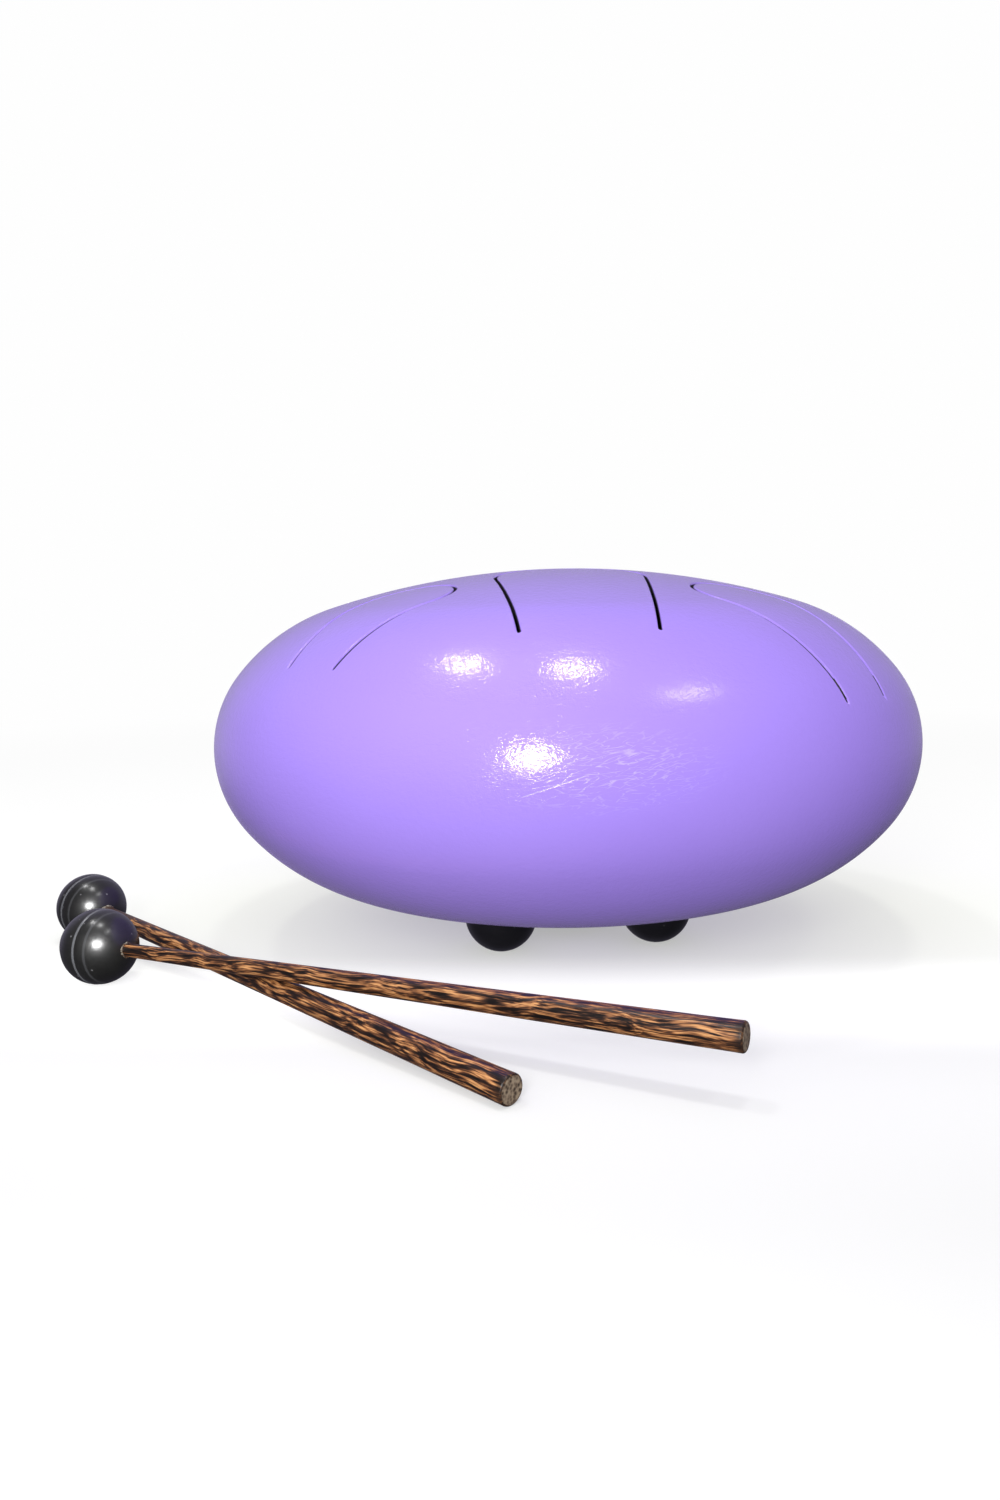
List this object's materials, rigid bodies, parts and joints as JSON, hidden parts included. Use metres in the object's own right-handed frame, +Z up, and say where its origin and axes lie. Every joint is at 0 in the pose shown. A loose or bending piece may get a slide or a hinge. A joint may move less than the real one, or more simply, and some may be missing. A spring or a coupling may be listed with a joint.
{
  "type": "steel tongue drum",
  "caption": "Lens-shaped steel tongue drum on rubber feet, played from above, with a pair of rubber-ball mallets lying crossed in front of it.",
  "frame": {"origin": "centre of the whole set's outline in plan, drum and mallets together, on the table top that the drum stands on", "axes": "+Z up along the drum's axis, +Y away from the player, +X to the player's right; the drum's own axis stands at x = 36.4 mm, y = 21.2 mm"},
  "size_m": [0.3732, 0.342, 0.1588],
  "materials": {
    "lavender_paint": "gloss spray paint",
    "foot_rubber": "satin",
    "plated_steel": "zinc plated",
    "ball_rubber": "satin",
    "palm_wood": "satin varnish over streaked dark palm wood",
    "dried_glue": "clear, dried"
  },
  "bodies": {
    "drum": {"upper_cap": "lavender_paint", "lower_cap": "lavender_paint", "rim_weld": "lavender_paint", "foot_front_left": "foot_rubber", "foot_front_right": "foot_rubber", "foot_back_right": "foot_rubber", "foot_back_left": "foot_rubber", "stud_front_left": "plated_steel", "stud_front_right": "plated_steel", "stud_back_right": "plated_steel", "stud_back_left": "plated_steel", "washer_front_left": "plated_steel", "washer_front_right": "plated_steel", "washer_back_right": "plated_steel", "washer_back_left": "plated_steel", "nut_front_left": "plated_steel", "nut_front_right": "plated_steel", "nut_back_right": "plated_steel", "nut_back_left": "plated_steel"},
    "mallet_lower": {"lower_ball": "ball_rubber", "lower_stick": "palm_wood", "lower_glue": "dried_glue"},
    "mallet_upper": {"upper_ball": "ball_rubber", "upper_stick": "palm_wood", "upper_glue": "dried_glue"}
  },
  "joints": [
    {"name": "lower_lift", "type": "slide", "parent": "drum", "child": "mallet_lower", "axis": [0, -0.342, 0.9397], "range_m": [0, 0.2]},
    {"name": "upper_lift", "type": "slide", "parent": "mallet_lower", "child": "mallet_upper", "axis": [0, -0.342, 0.9397], "range_m": [0, 0.2]}
  ]
}
